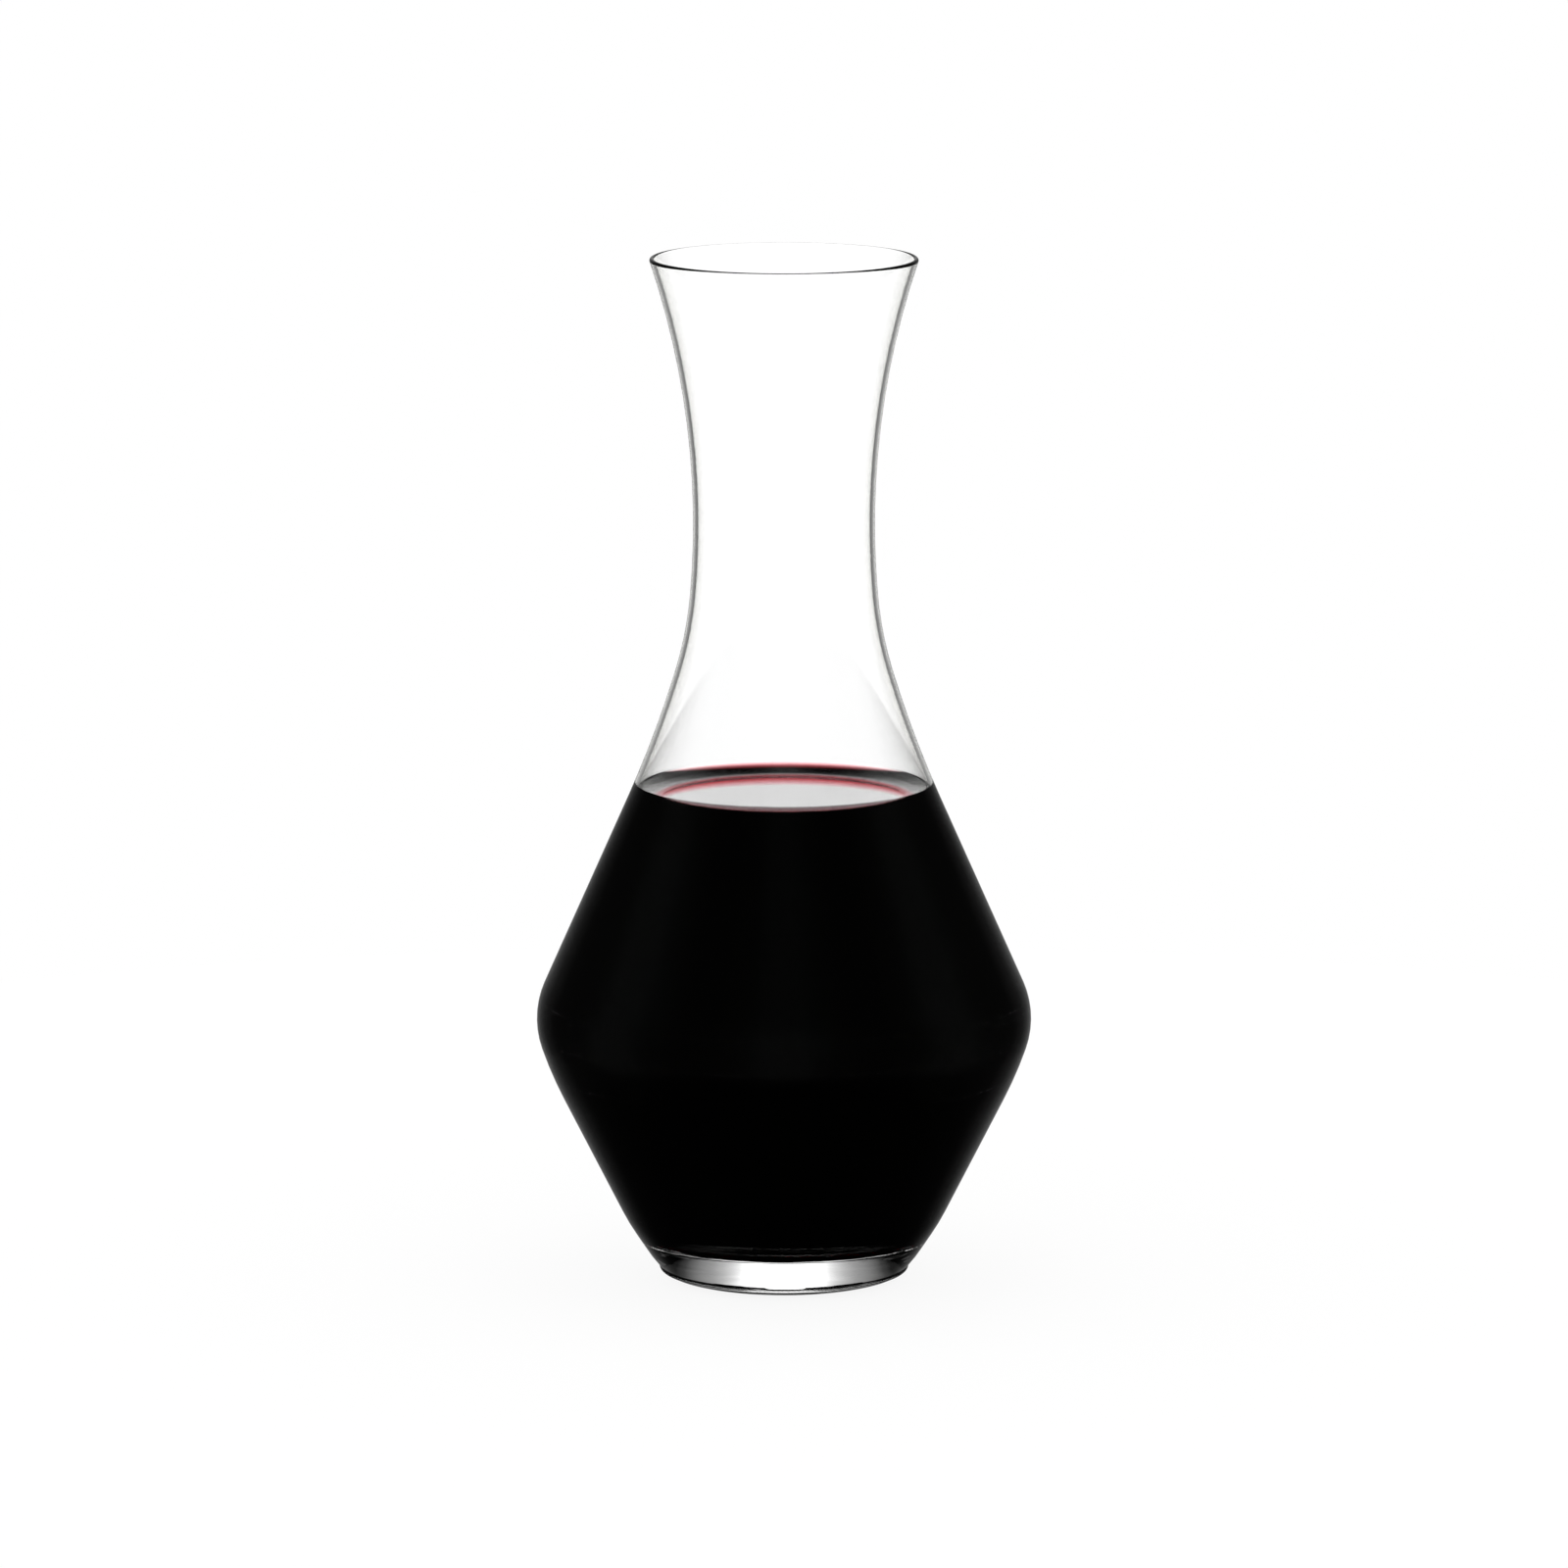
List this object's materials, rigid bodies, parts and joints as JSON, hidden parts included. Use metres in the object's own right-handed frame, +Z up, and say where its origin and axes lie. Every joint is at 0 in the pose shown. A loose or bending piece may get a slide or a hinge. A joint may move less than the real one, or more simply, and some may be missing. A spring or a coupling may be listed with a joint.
{
  "type": "wine decanter",
  "caption": "Clear crystal wine decanter with a flared neck, sloping shoulder, low rounded belly and thick base, filled with red wine to the shoulder.",
  "frame": {"origin": "on the decanter's axis, at the height of the flat ring that stands on the table", "axes": "+Z up along the decanter's axis of revolution; X and Y are free, because the decanter is round"},
  "size_m": [0.1202, 0.1202, 0.25],
  "materials": {
    "crystal": "clear, fire-polished",
    "red_wine": "dark red liquid, almost opaque"
  },
  "bodies": {
    "root": {"glass_body": "crystal", "red_wine": "red_wine"}
  },
  "joints": []
}
